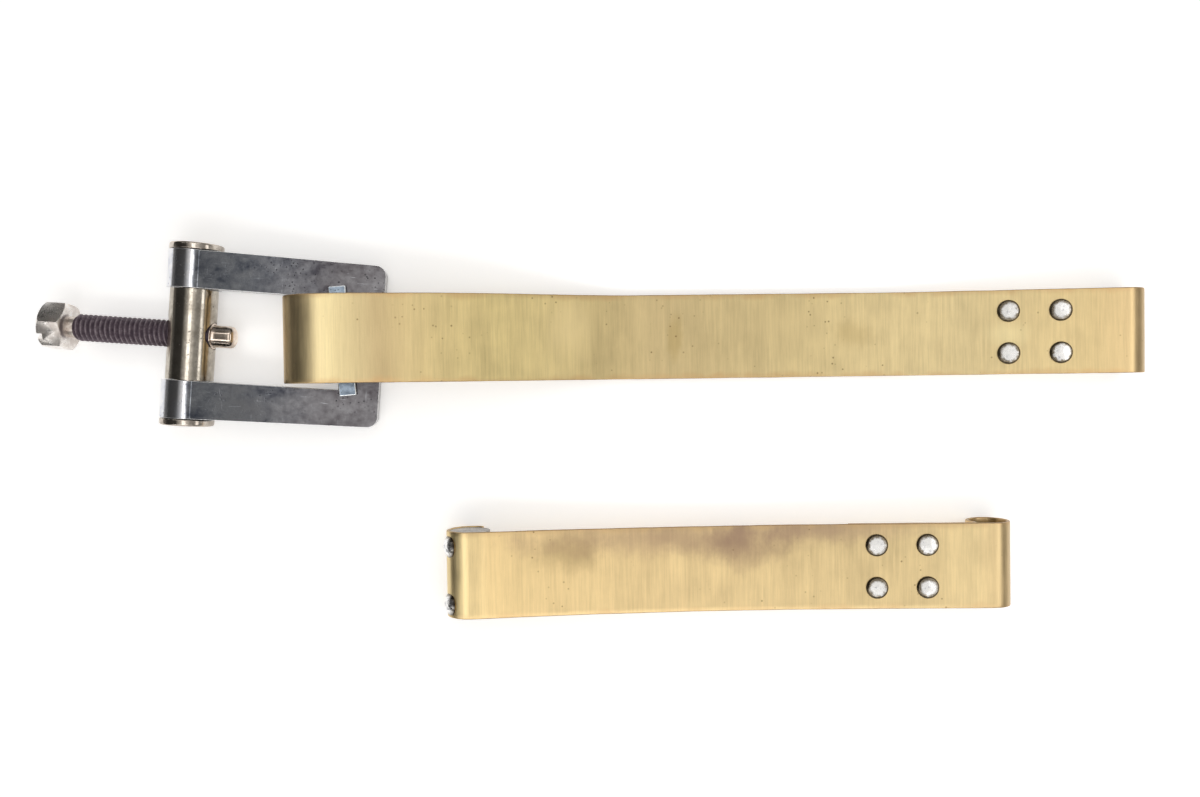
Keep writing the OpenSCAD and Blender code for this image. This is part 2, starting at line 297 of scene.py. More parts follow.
short_line = thin_out(
    oval(BAR_C, ROLL_R - 0.5, ROLL_R - 0.5, 300, 90 - END_LEAN, 80)
    + bez(BAR_C + turn((0.6, ROLL_R - 0.5), -END_LEAN), BAR_C + turn((38, ROLL_R - 0.5), -END_LEAN),
          SHORT_E + turn((-82, ZT_TOP), SHORT_LEAN), SHORT_E + turn((-43.6, ZT_TOP), SHORT_LEAN), 95)
    + bez(SHORT_E + turn((-43.6, ZT_TOP), SHORT_LEAN), SHORT_E + turn((-29, ZT_TOP), SHORT_LEAN),
          SHORT_E + turn((-15, ZT_TOP), SHORT_LEAN), SHORT_E + turn((-0.4, ZT_TOP), SHORT_LEAN), 36)
    + placed(eye_line(43), SHORT_E, SHORT_LEAN))


def noise_at(x, y, z):
    return noise.noise(Vector((x, y, z)))


def band(name, line, mid_y, seed):
    """A rounded-edge strip swept along the line, with the slight waves and
    wandering sheared edges of hand-bent stock."""
    pts = np.array(line)
    tangent = np.gradient(pts, axis=0)
    tangent /= np.linalg.norm(tangent, axis=1)[:, None]
    normal = np.c_[-tangent[:, 1], tangent[:, 0]]
    h, w, r = STRAP_T / 2, STRAP_W / 2, 0.3
    ring = []
    cols = 20
    for k in range(cols + 1):
        ring.append((-w + r + (2 * w - 2 * r) * k / cols, h))
    for a in (60, 30, 0):
        ring.append((w - r + r * math.cos(rad(a)), h - r + r * math.sin(rad(a))))
    for a in (0, -30, -60):
        ring.append((w - r + r * math.cos(rad(a)), -h + r + r * math.sin(rad(a))))
    for k in range(cols + 1):
        ring.append((w - r - (2 * w - 2 * r) * k / cols, -h))
    for a in (-120, -150, -180):
        ring.append((-w + r + r * math.cos(rad(a)), -h + r + r * math.sin(rad(a))))
    for a in (180, 150, 120):
        ring.append((-w + r + r * math.cos(rad(a)), h - r + r * math.sin(rad(a))))
    n = len(ring)
    verts, faces = [], []
    for i, (p, q) in enumerate(zip(pts, normal)):
        edge_a = 0.07 * noise_at(p[0] * 0.09, p[1] * 0.09, seed) + 0.03 * noise_at(p[0] * 0.7, p[1] * 0.7, seed + 5)
        edge_b = 0.07 * noise_at(p[0] * 0.09, p[1] * 0.09, seed + 9) + 0.03 * noise_at(p[0] * 0.7, p[1] * 0.7, seed + 14)
        for y, o in ring:
            wave = 0.030 * noise_at(p[0] * 0.085, y * 0.07 + 3, seed + 20) + 0.012 * noise_at(p[0] * 0.24, y * 0.16, seed + 30)
            yy = y + (edge_b if y > 0 else edge_a) * min(1, abs(y) / w)
            oo = o + wave
            verts.append((p[0] + q[0] * oo, mid_y + yy, p[1] + q[1] * oo))
    for i in range(len(pts) - 1):
        for k in range(n):
            k2 = (k + 1) % n
            faces.append((i * n + k, i * n + k2, (i + 1) * n + k2, (i + 1) * n + k))
    faces.append(tuple(range(n - 1, -1, -1)))
    last = (len(pts) - 1) * n
    faces.append(tuple(range(last, last + n)))
    ob = new_object(name, verts, faces)
    fix_normals(ob)
    crease_by_angle(ob, 50)
    return ob


# ------------------------------------------------------------- material tools
def lin(r, g, b):
    return tuple(((c / 255) / 12.92 if c / 255 <= 0.04045 else ((c / 255 + 0.055) / 1.055) ** 2.4) for c in (r, g, b)) + (1,)


class Mat:
    """A small helper that builds a node tree from the object's own coordinates."""

    def __init__(self, name, metallic=1.0, specular=None):
        self.m = bpy.data.materials.new(name)
        self.m.use_nodes = True
        self.t = self.m.node_tree
        self.t.nodes.clear()
        self.out = self.t.nodes.new("ShaderNodeOutputMaterial")
        self.b = self.t.nodes.new("ShaderNodeBsdfPrincipled")
        self.b.inputs["Metallic"].default_value = metallic
        self.t.links.new(self.b.outputs[0], self.out.inputs[0])
        self.coord = self.t.nodes.new("ShaderNodeTexCoord").outputs["Object"]
        self.xyz = self.t.nodes.new("ShaderNodeSeparateXYZ")
        self.t.links.new(self.coord, self.xyz.inputs[0])

    def link(self, a, b):
        self.t.links.new(a, b)

    def mapped(self, scale=(1, 1, 1), loc=(0, 0, 0), rot=(0, 0, 0)):
        n = self.t.nodes.new("ShaderNodeMapping")
        n.inputs["Scale"].default_value = scale
        n.inputs["Location"].default_value = loc
        n.inputs["Rotation"].default_value = rot
        self.link(self.coord, n.inputs["Vector"])
        return n.outputs[0]

    def noise(self, scale, detail=3.0, rough=0.5, vec=None, distortion=0.0):
        n = self.t.nodes.new("ShaderNodeTexNoise")
        n.inputs["Scale"].default_value = scale
        n.inputs["Detail"].default_value = detail
        n.inputs["Roughness"].default_value = rough
        n.inputs["Distortion"].default_value = distortion
        self.link(vec if vec is not None else self.coord, n.inputs["Vector"])
        return n.outputs["Fac"]

    def voronoi(self, scale, vec=None, feature="F1", out="Distance", randomness=1.0):
        n = self.t.nodes.new("ShaderNodeTexVoronoi")
        n.feature = feature
        n.inputs["Scale"].default_value = scale
        n.inputs["Randomness"].default_value = randomness
        self.link(vec if vec is not None else self.coord, n.inputs["Vector"])
        return n.outputs[out]

    def ramp(self, fac, stops, interp="LINEAR"):
        n = self.t.nodes.new("ShaderNodeValToRGB")
        n.color_ramp.interpolation = interp
        e = n.color_ramp.elements
        while len(e) < len(stops):
            e.new(0.5)
        for k, (p, c) in enumerate(stops):
            e[k].position = p
            e[k].color = c if isinstance(c, tuple) else (c, c, c, 1)
        self.link(fac, n.inputs[0])
        return n.outputs[0]

    def remap(self, v, a, b, c=0.0, d=1.0, smooth=False):
        n = self.t.nodes.new("ShaderNodeMapRange")
        n.clamp = True
        if smooth:
            n.interpolation_type = "SMOOTHSTEP"
        for k, x in zip(("From Min", "From Max", "To Min", "To Max"), (a, b, c, d)):
            n.inputs[k].default_value = x
        self.link(v, n.inputs["Value"])
        return n.outputs[0]

    def math(self, op, a, b=None):
        n = self.t.nodes.new("ShaderNodeMath")
        n.operation = op
        for k, x in enumerate((a, b)):
            if x is None:
                continue
            if isinstance(x, (int, float)):
                n.inputs[k].default_value = x
            else:
                self.link(x, n.inputs[k])
        return n.outputs[0]

    def mix(self, fac, a, b, blend="MIX"):
        n = self.t.nodes.new("ShaderNodeMix")
        n.data_type = "RGBA"
        n.blend_type = blend
        n.clamp_result = True
        for socket, x in ((n.inputs[0], fac), (n.inputs[6], a), (n.inputs[7], b)):
            if isinstance(x, (int, float)):
                socket.default_value = x
            elif isinstance(x, tuple):
                socket.default_value = x
            else:
                self.link(x, socket)
        return n.outputs[2]

    def near_x(self, centre, half, soft):
        """1 inside |x - centre| < half, falling to 0 over soft (metres)."""
        d = self.math("ABSOLUTE", self.math("SUBTRACT", self.xyz.outputs[0], centre))
        return self.remap(d, half, half + soft, 1.0, 0.0, smooth=True)

    def finish(self, color, rough, height=None, strength=0.2, distance=0.0001):
        self.link(color, self.b.inputs["Base Color"])
        self.link(rough, self.b.inputs["Roughness"])
        if height is not None:
            n = self.t.nodes.new("ShaderNodeBump")
            n.inputs["Strength"].default_value = strength
            n.inputs["Distance"].default_value = distance
            self.link(height, n.inputs["Height"])
            self.link(n.outputs[0], self.b.inputs["Normal"])
        return self.m


def blob(m, x, y, rx, ry, soft=1.0, plus=None):
    """An oval patch mask in object x, y (metres), 1 in the middle."""
    dx = m.math("DIVIDE", m.math("SUBTRACT", m.xyz.outputs[0], x), rx)
    dy = m.math("DIVIDE", m.math("SUBTRACT", m.xyz.outputs[1], y), ry)
    d = m.math("SQRT", m.math("ADD", m.math("MULTIPLY", dx, dx), m.math("MULTIPLY", dy, dy)))
    if plus is not None:
        d = m.math("ADD", d, plus)
    return m.remap(d, 1.0 - soft, 1.0, 1.0, 0.0, smooth=True)


def brass(name, mid_y, x_light_stops, patches, edge_tint, seed, lean):
    """Crosswise brushed brass. x_light_stops: (x in mm, sRGB) along the strap, a colour ramp that paints the highlight
    and shade along the strap into the brass.
    """
    m = Mat(name)
    off = (seed * 0.37, seed * 0.11, seed * 0.23)
    brushed = m.noise(1, 4, 0.6, m.mapped((1500, 60, 1500), off))
    fine = m.noise(1, 2, 0.5, m.mapped((4200, 150, 4200), off))
    broad = m.noise(38, 4, 0.55, m.mapped((1, 0.55, 1), off))
    cloud = m.noise(120, 5, 0.6, m.mapped((1, 0.7, 1), off))
    bars = m.noise(1, 3, 0.6, m.mapped((260, 14, 260), off))
    lo, hi = x_light_stops[0][0], x_light_stops[-1][0]
    stops = [((x - lo) / (hi - lo), lin(*c)) for x, c in x_light_stops]
    fx = m.remap(m.xyz.outputs[0], lo * MM, hi * MM)
    wobble = m.math("ADD", fx, m.math("MULTIPLY", m.math("SUBTRACT", broad, 0.5), 0.03))
    # painted highlight and shade: the ramp along x lightens and darkens the brass where light and shade fall on the
    # strap
    base = m.ramp(wobble, stops)
    # brushing and bars lighten and darken the whole colour
    tone = m.math("ADD", m.remap(brushed, 0.3, 0.7, -0.075, 0.075), m.remap(bars, 0.3, 0.7, -0.05, 0.05))
    tone = m.math("ADD", tone, m.remap(cloud, 0.3, 0.7, -0.065, 0.065))
    tone = m.math("ADD", tone, m.remap(fine, 0.3, 0.7, -0.035, 0.035))
    level = m.math("ADD", tone, 1.0)
    grey = m.t.nodes.new("ShaderNodeCombineColor")
    for k in range(3):
        m.link(level, grey.inputs[k])
    col = m.mix(1.0, base, grey.outputs[0], "MULTIPLY")
    for x, y, rx, ry, soft, c, amount in patches:
        mask = blob(m, x * MM, y * MM, rx * MM, ry * MM, soft, m.remap(cloud, 0.3, 0.7, -0.25, 0.25))
        col = m.mix(m.math("MULTIPLY", mask, amount), col, lin(*c), "MIX")
    # darker, browner towards both edges
    d = m.math("ABSOLUTE", m.math("SUBTRACT", m.xyz.outputs[1], mid_y * MM))
    wob = m.math("ADD", d, m.remap(cloud, 0.3, 0.7, -0.0011, 0.0011))
    edge = m.remap(wob, 0.0108, 0.0132, 0.0, 1.0, smooth=True)
    col = m.mix(m.math("MULTIPLY", edge, 0.55), col, lin(*edge_tint))
    rim = m.remap(d, 0.01245, 0.0127, 0.0, 1.0)
    col = m.mix(m.math("MULTIPLY", rim, 0.6), col, lin(134, 104, 72))
    # specks
    cell = m.voronoi(420, m.mapped((1, 1, 1), off))
    gate = m.remap(m.noise(55, 2, 0.5, m.mapped((1, 1, 1), (3 + seed, 1, 2))), 0.50, 0.60)
    speck = m.math("MULTIPLY", m.remap(cell, 0.07, 0.15, 1.0, 0.0), gate)
    col = m.mix(m.math("MULTIPLY", speck, 0.7), col, lin(112, 88, 52))
    rough = m.math("ADD", m.remap(cloud, 0.3, 0.7, 0.33, 0.42), m.remap(brushed, 0.3, 0.7, -0.02, 0.03))
    height = m.math("ADD", m.math("MULTIPLY", brushed, 0.7), m.math("MULTIPLY", fine, 0.4))
    height = m.math("SUBTRACT", height, m.math("MULTIPLY", speck, 0.5))
    # the bend's shading leans towards +x: lean = (x from, x to, height in mm)
    fall = m.remap(m.xyz.outputs[0], lean[0] * MM, lean[1] * MM, lean[2] * MM, 0.0, smooth=True)
    n = m.t.nodes.new("ShaderNodeBump")
    n.inputs["Strength"].default_value = 1.0
    n.inputs["Distance"].default_value = 1.0
    m.link(m.math("ADD", fall, m.math("MULTIPLY", height, 0.000005)), n.inputs["Height"])
    m.link(n.outputs[0], m.b.inputs["Normal"])
    return m.finish(col, rough)


def plated(name, dark, light, warm_reflection=None, rough=(0.12, 0.3), scale=1.0, pits=0.6, scratch=0.5, seed=0, bump=0.2, lit_hub_mix=None):
    """Worn nickel plate: cloudy tone, long scratches, dark pits."""
    m = Mat(name)
    off = (seed * 0.31, seed * 0.17, seed * 0.07)
    cloud = m.noise(90 * scale, 6, 0.62, m.mapped((0.6, 1, 1), off))
    mottle = m.noise(420 * scale, 5, 0.65, m.mapped((1, 1, 1), off))
    streak = m.noise(1, 3, 0.6, m.mapped((160, 2600, 900), off, (0, 0, 0.35)))
    cross = m.noise(1, 3, 0.6, m.mapped((2400, 180, 900), off, (0, 0, 0.2)))
    fac = m.math("ADD", m.math("MULTIPLY", cloud, 0.65), m.math("MULTIPLY", mottle, 0.35))
    col = m.ramp(fac, [(0.39, lin(*dark)), (0.60, lin(*light))])
    # painted highlight: below the given x, the yoke's hub, the plate takes a lighter copy of its colour
    if lit_hub_mix is not None:
        at, c_dark, c_light = lit_hub_mix
        lit_hub = m.remap(m.math("ADD", m.xyz.outputs[0], m.remap(cloud, 0.3, 0.7, -0.0006, 0.0006)), at * MM, (at + 0.9) * MM, 1.0, 0.0, smooth=True)
        col = m.mix(lit_hub, col, m.ramp(fac, [(0.36, lin(*c_dark)), (0.62, lin(*c_light))]))
    # painted reflection: a warm grey band between two x values
    if warm_reflection is not None:
        x0, x1, c, amount = warm_reflection
        w = m.remap(m.math("ADD", m.xyz.outputs[0], m.remap(cloud, 0.3, 0.7, -0.008, 0.008)), x0 * MM, x1 * MM, 0.0, amount, smooth=True)
        col = m.mix(w, col, lin(*c))
    s = m.math("MAXIMUM", m.remap(streak, 0.66, 0.74), m.remap(cross, 0.68, 0.76))
    col = m.mix(m.math("MULTIPLY", s, scratch), col, lin(*(min(255, c + 55) for c in light)))
    cell = m.voronoi(900 * scale, m.mapped((1, 1, 1), off))
    gate = m.remap(m.noise(160, 3, 0.6, m.mapped((1, 1, 1), (seed + 5, 2, 1))), 0.46, 0.62)
    pit = m.math("MULTIPLY", m.remap(cell, 0.12, 0.26, 1.0, 0.0), gate)
    col = m.mix(m.math("MULTIPLY", pit, pits), col, lin(38, 38, 44))
    r = m.remap(fac, 0.36, 0.62, rough[1], rough[0])
    r = m.math("ADD", r, m.math("MULTIPLY", pit, 0.25))
    h = m.math("SUBTRACT", m.math("MULTIPLY", mottle, 0.5), m.math("MULTIPLY", pit, 0.8))
    h = m.math("SUBTRACT", h, m.math("MULTIPLY", s, 0.25))
    return m.finish(col, r, h, bump, 0.00008)


# ------------------------------------------------------------------ the straps
# painted highlight and shade along the long strap: the stops lighten the loop's top and darken its shaded slopes and
# bands
LONG_LIGHT_STOPS = [(-94, (215, 190, 150)), (-80, (225, 208, 160)), (-65, (180, 160, 120)), (-30, (235, 215, 155)), (15, (200, 180, 135)),
              (60, (220, 200, 150)), (110, (230, 210, 160)), (145, (210, 188, 140)), (165, (190, 165, 125))]
brass_long = brass(
    "brass_long", LONG_Y,
    LONG_LIGHT_STOPS,
    # painted highlight and shade: the light oval patches at x -9, 55 and 122 and the darker ones at x 22 and 76 copy
    # the bright and dark bands along the strap
    [(-9, 30, 9, 14, 0.8, (246, 224, 168), 0.55), (22, 26, 3.0, 9, 0.7, (182, 158, 104), 0.45),
     (76, 27, 9, 6, 0.8, (188, 164, 112), 0.35), (55, 30, 14, 8, 1.0, (232, 210, 158), 0.3),
     (122, 26, 8, 5, 0.9, (255, 240, 186), 0.4)],
    (196, 158, 112), 1, (-98, -62, 4.9))
strap_long = band("strap_long_sheet", long_line, LONG_Y, 3.1)
strap_long.data.materials.append(brass_long)
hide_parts("strap_long")
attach(strap_long, "long_strap")

# painted highlight and shade along the short strap: the stops lighten the highlight on the rolled left end and darken
# the brass towards the eye
SHORT_LIGHT_STOPS = [(-48, (220, 198, 150)), (-43, (240, 218, 165)), (-34, (215, 190, 140)), (20, (225, 200, 150)),
               (110, (220, 198, 150)), (124, (190, 165, 125))]
brass_short = brass(
    "brass_short", SHORT_Y,
    SHORT_LIGHT_STOPS,
    [(18, -33.5, 62, 7.5, 1.0, (164, 136, 116), 0.62), (41, -37, 17, 9, 1.0, (146, 118, 104), 0.55),
     (-11, -37, 15, 8, 1.0, (160, 138, 100), 0.5), (66, -31.5, 44, 5, 1.0, (168, 140, 120), 0.6)],
    (204, 170, 126), 2, (-54, -36, 2.7))
strap_short = band("strap_short_sheet", short_line, SHORT_Y, 8.4)
strap_short.data.materials.append(brass_short)
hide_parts("strap_short")
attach(strap_short, "short_strap")


# ---------------------------------------------------------------------- rivets
def rivet_mat(name, r_centre, r_edge, seed):
    """Hammered steel: a bright flattened crown in a darker ring; the ring is painted shade on the curved rim and the
    groove round the head a painted contact shadow.
    """
    m = Mat(name)
    x, y = m.xyz.outputs[0], m.xyz.outputs[1]
    d = m.math("SQRT", m.math("ADD", m.math("MULTIPLY", x, x), m.math("MULTIPLY", y, y)))
    grain = m.noise(900, 4, 0.6, m.mapped((1, 1, 1), (seed, 0, 0)))
    dd = m.math("ADD", d, m.remap(grain, 0.3, 0.7, -0.00035, 0.00035))
    # painted shade on the domed rim of the head
    ring = m.remap(dd, r_centre * MM, r_edge * MM, 0.0, 1.0, smooth=True)
    crown = m.ramp(grain, [(0.30, lin(186, 186, 190)), (0.42, lin(238, 238, 238)), (0.6, lin(252, 252, 251))])
    col = m.mix(ring, crown, lin(118, 108, 92))
    # painted contact shadow round the head
    groove_shadow = m.remap(d, 0.00295, 0.0033)
    col = m.mix(m.math("MULTIPLY", groove_shadow, 0.8), col, lin(52, 45, 34))
    nick = m.math("MULTIPLY", m.remap(m.voronoi(1500, m.mapped((1, 1, 1), (seed, 4, 1))), 0.1, 0.25, 1.0, 0.0),
                  m.remap(m.noise(500, 2, 0.5, m.mapped((1, 1, 1), (seed, 1, 7))), 0.52, 0.6))
    col = m.mix(m.math("MULTIPLY", nick, 0.7), col, lin(80, 74, 74))
    rough = m.remap(grain, 0.3, 0.7, 0.36, 0.2)
    return m.finish(col, rough, m.math("SUBTRACT", grain, nick), 0.35, 0.00008)


def hammered(verts, top, planes, flat_r):
    out = []
    for x, y, z in verts:
        if z > top - 0.32 and math.hypot(x, y) < flat_r:
            for a, b, c in planes:
                z = min(z, c + a * x + b * y)
        out.append((x, y, z))
    return out


def strap_rivet(name, node, frame_m, i, j, low, x0, seed, body):
    rng = random.Random(seed)
    d, h = 6.6, 1.0
    R = d / 2
    top, bottom = EYE_R, low
    prof = [(0, bottom - 1.0)]
    prof += [(r, bottom - z) for r, z in ((0.8, 1.0), (1.6, 1.0), (R - 1.1, 0.98), (R - 0.75, 0.92), (R - 0.45, 0.80),
                                          (R - 0.22, 0.60), (R - 0.08, 0.36), (R, 0.18), (R - 0.06, 0.05), (R - 0.2, -0.02))]
    prof += [(2.0, bottom + 0.02), (2.0, top - 0.02)]
    prof += [(r, top + z) for r, z in ((R - 0.2, -0.02), (R - 0.06, 0.05), (R, 0.18), (R - 0.08, 0.36), (R - 0.22, 0.60),
                                       (R - 0.45, 0.80), (R - 0.75, 0.92), (R - 1.1, 0.97))]
    prof += [(r, top + 1.0) for r in (1.9, 1.55, 1.2, 0.8, 0.4)] + [(0, top + 1.0)]
    verts, faces = lathe(prof, 48)
    crown = top + h
    planes = []
    for k in range(6):
        a, e = rng.uniform(0, 2 * math.pi), rng.uniform(0.02, 0.11)
        planes.append((-e * math.cos(a), -e * math.sin(a), crown + rng.uniform(-0.03, 0.05) + e * 0.4))
    verts = hammered(verts, crown, planes, 2.9)
    squash_a, squash = rng.uniform(0, math.pi), rng.uniform(0.985, 1.02)
    ob = new_object(name, verts, faces, frame_m @ T(-x0 - i * RIVET_PX, j * RIVET_PY / 2, 0) @ RZ(math.degrees(squash_a)) @ Matrix.Diagonal((squash, 1, 1, 1)))
    fix_normals(ob)
    crease_by_angle(ob, 55)
    ob.data.materials.append(rivet_mats[seed % len(rivet_mats)])
    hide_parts(node)
    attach(ob, body)


rivet_mats = [rivet_mat(f"rivet_steel_{k}", 1.75 + 0.12 * (k % 3), 2.75, k * 3.7) for k in range(4)]
LOW_L, LOW_S = EYE_R - 3 * STRAP_T - 2 * GAP, EYE_R - 2 * STRAP_T - GAP
for n, (i, j) in enumerate(((1, 1), (0, 1), (1, -1), (0, -1)), 1):
    strap_rivet(f"rivet_long_{n}_head", f"rivet_long_{n}", M_LEYE, i, j, LOW_L, RIVET_X0, 10 + n, "long_strap")
    strap_rivet(f"rivet_short_{n}_head", f"rivet_short_{n}", M_SEYE, i, j, LOW_S, RIVET_X0_SHORT, 20 + n, "short_strap")


def bar_rivet(name, node, j, seed):
    rng = random.Random(seed)
    h, R = 1.7, 3.4
    rs = (R * R + h * h) / (2 * h)
    base = ROLL_R - 0.3
    prof = [(0, -BAR_R + 0.3), (1.4, -BAR_R + 0.3), (1.85, -BAR_R + 0.45), (2.0, -BAR_R + 0.7), (2.0, base), (3.1, base), (3.34, base + 0.05)]
    a0 = math.asin(R / rs)
    for k in range(1, 12):
        a = a0 * (1 - k / 12)
        prof.append((rs * math.sin(a) * (1.0 if k > 1 else 1.0), base + h - rs + rs * math.cos(a)))
    prof.append((0, base + h))
    verts, faces = lathe(prof, 56)
    planes = []
    for k in range(9):
        a, e = rng.uniform(0, 2 * math.pi), rng.uniform(0.12, 0.6)
        planes.append((-e * math.cos(a), -e * math.sin(a), base + h + rs * (math.sqrt(1 + e * e) - 1) - rng.uniform(0.03, 0.09)))
    out = []
    for x, y, z in verts:
        if z > base + 0.4:
            for p, q, c in planes:
                z = min(z, c + p * x + q * y)
        out.append((x, y, z))
    ob = new_object(name, out, faces, m_bar(j))
    fix_normals(ob)
    crease_by_angle(ob, 55)
    ob.data.materials.append(dome_mat)
    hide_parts(node)
    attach(ob, "short_strap")


dome_mat = rivet_mat("rivet_steel_dome", 2.0, 3.3, 11.3)
bar_rivet("rivet_bar_1_head", "rivet_bar_1", 1, 31)
bar_rivet("rivet_bar_2_head", "rivet_bar_2", -1, 32)

# --------------------------------------------------------------------- end bar
bar = cyl("end_bar_round", BAR_R, -12.4, 12.4, T(BAR_X, SHORT_Y, ROLL_R) @ RX(90), 128)
seat = cyl("seat_cut", TIP_R + 0.2, 0, 6, T(BAR_X + BAR_R - 2.5, SHORT_Y, ROLL_R) @ RY(90), 64)
boolean(bar, seat, "DIFFERENCE")
soften(bar, 0.35, 3)
bar.data.materials.append(plated("bar_steel", (120, 118, 116), (168, 165, 160), None, (0.22, 0.4), 1.2, 0.4, 0.3, 4))
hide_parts("end_bar")
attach(bar, "short_strap")

# ------------------------------------------------------------------------ yoke
hub_a = math.degrees(math.asin(ARM_TOP / HUB_R))
low_z = ARM_TOP - YOKE_T
low_a = math.degrees(math.asin(low_z / HUB_R))
n_arc = 88
profile = [(HUB_R * math.cos(rad(a)), HUB_R * math.sin(rad(a)))
           for a in (hub_a + (360 + low_a - hub_a) * k / n_arc for k in range(n_arc + 1))]
profile += [(YOKE_L + 0.01, low_z), (YOKE_L + 0.01, ARM_TOP)]
yoke = side_prism("yoke_forging", profile, -YOKE_W / 2 - 1, YOKE_W / 2 + 1, M_YOKE)
corner = 3.0


def arc_pts(cx, cy, r, a1, a2, n):
    return [(cx + r * math.cos(rad(a1 + (a2 - a1) * k / n)), cy + r * math.sin(rad(a1 + (a2 - a1) * k / n))) for k in range(n + 1)]


outline = [(-9, YOKE_W / 2), (-0.5, YOKE_W / 2)] + arc_pts(YOKE_L - corner, YOKE_W_END / 2 - corner, corner, 90, 0, 14) \
    + arc_pts(YOKE_L - corner, -YOKE_W_END / 2 + corner, corner, 0, -90, 14) + [(-0.5, -YOKE_W / 2), (-9, -YOKE_W / 2)]
boolean(yoke, prism("yoke_outline_cut", outline, -12, 12, M_YOKE), "INTERSECT")
xw, hw = YOKE_L - BAR_W, WIN_W / 2
window = [(-14, -hw)] + arc_pts(xw - 1.5, -hw + 1.5, 1.5, -90, 0, 8) + arc_pts(xw - 1.5, hw - 1.5, 1.5, 0, 90, 8) + [(-14, hw)]
boolean(yoke, prism("yoke_window_cut", window, -12, 12, M_YOKE), "DIFFERENCE")
boolean(yoke, cyl("yoke_bore_cut", PIN_R + 0.08, -30, 30, M_YOKE @ RX(90), 96), "DIFFERENCE")
# painted light on the yoke: the arms' darkened bluish tone is painted shade and a painted reflection of cool light, the
# warm band on the arms a painted warm reflection, the light hub a painted highlight
yoke.data.materials.append(plated("nickel_yoke", (46, 51, 62), (122, 125, 130), (8, 44, (74, 67, 65), 0.6),
                                  (0.12, 0.26), 1.0, 0.6, 0.4, 1, 0.2, (1.6, (196, 200, 210), (244, 244, 246))))
# painted highlight: a near-white plate on the bevel faces stands for the bright outline of the rounded edges
yoke.data.materials.append(plated("nickel_yoke_edge_highlight", (226, 226, 228), (250, 250, 250), None, (0.3, 0.45), 1.4, 0.3, 0.2, 9, 0.2))
soften(yoke, 0.6, 4, 30, 38, 1)
yoke.data.transform(RY(DIP))                   # the dip goes into the mesh, so the object's own box is tight
yoke.matrix_world = yoke.matrix_world @ RY(DIP).inverted()
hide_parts("yoke")
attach(yoke, "yoke")

# -------------------------------------------------------------------- trunnion
half = (WIN_W - 0.4) / 2
barrel = cyl("trunnion_barrel", BARREL_R, -half, half, M_TRUN @ RX(90), 128)
boolean(barrel, cyl("c1", SCREW_R + 0.05, -15, 15, M_TRUN @ RY(90), 96), "DIFFERENCE")
boolean(barrel, cyl("c2", 5.9, -BARREL_R - 3.9, -BARREL_R + 1.1, M_TRUN @ RY(90), 96), "DIFFERENCE")
for j in (-1, 1):
    boolean(barrel, cyl("c3", PIN_R + 0.02, 5.0, 25.0, M_TRUN @ RX(-90 if j > 0 else 90), 96), "DIFFERENCE")
soften(barrel, 0.35, 3, 30, 38)
barrel.data.materials.append(plated("nickel_barrel", (150, 142, 130), (205, 198, 186), None, (0.10, 0.24), 1.1, 0.7, 0.35, 2, 0.2))
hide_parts("trunnion")
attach(barrel, "trunnion")

pin_mat = plated("nickel_pin", (158, 148, 138), (212, 204, 194), None, (0.08, 0.2), 1.3, 0.5, 0.3, 3, 0.15)
for j, nm in ((1, "upper"), (-1, "lower")):
    y0, R, t = YOKE_W / 2 + 0.2, PIN_HEAD_R, PIN_HEAD_T
    prof = [(0, 5.1), (PIN_R - 0.4, 5.1), (PIN_R, 5.5), (PIN_R, y0 - 0.1), (PIN_R + 0.15, y0), (R - 0.35, y0), (R - 0.12, y0 + 0.06),
            (R - 0.02, y0 + 0.2), (R, y0 + 0.35), (R, y0 + t - 0.55), (R - 0.06, y0 + t - 0.35), (R - 0.2, y0 + t - 0.16),
            (R - 0.45, y0 + t - 0.04), (R - 0.8, y0 + t), (R * 0.5, y0 + t), (0, y0 + t)]
    verts, faces = lathe(prof, 128)
    pin = new_object(f"pivot_pin_{nm}_turned", verts, faces, M_TRUN @ RX(-90 if j > 0 else 90))
    fix_normals(pin)
    crease_by_angle(pin, 40)
    pin.data.materials.append(pin_mat)
    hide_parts(f"pivot_pin_{nm}")
    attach(pin, "trunnion")

# ------------------------------------------------------- screw, with true helix
HEAD_A, HEAD_B, THREAD_A, THREAD_N = -42.4, -35.0, -33.4, 28
THREAD_B = THREAD_A + THREAD_N * PITCH
ROOT_R = SCREW_R - 0.61 * PITCH
NECK_R = 3.12


def thread_radius(z, theta):
    u = ((z - THREAD_A) / PITCH - theta / (2 * math.pi)) % 1.0
    d = abs(u - 0.5)            # 0 at the crest
    crest, root = 0.07, 0.43
    s = min(1, max(0, (root - d) / (root - crest)))
    r = ROOT_R + (SCREW_R - ROOT_R) * s
    start = NECK_R + max(0.0, (z - THREAD_A)) * 0.9
    end = ROOT_R - 0.35 + max(0.0, (THREAD_B - z)) * 0.9
    return max(min(r, start, end), min(ROOT_R, start, end))


# the sheared grid meets itself one turn on, so each ring closes along the helix
def helical_shank():
    n, per = 96, 14
    rows = (THREAD_N + 1) * per
    verts, faces = [], []
    index = {}

    def vert(q, k):
        """q counts rows of PITCH / per; k counts steps round. k = n is k = 0, per rows later."""
        if k == n:
            return vert(q + per, 0)
        q2 = q
        key = (q2, k)
        if key not in index:
            z = THREAD_A + (q / per - 1 + k / n) * PITCH
            z = min(max(z, THREAD_A), THREAD_B)
            th = 2 * math.pi * k / n
            r = thread_radius(z, th)
            index[key] = len(verts)
            verts.append((r * math.cos(th), r * math.sin(th), z))
        return index[key]

    for q in range(rows + per):
        for k in range(n):
            faces.append((vert(q, k), vert(q, k + 1), vert(q + 1, k + 1), vert(q + 1, k)))
    return verts, faces


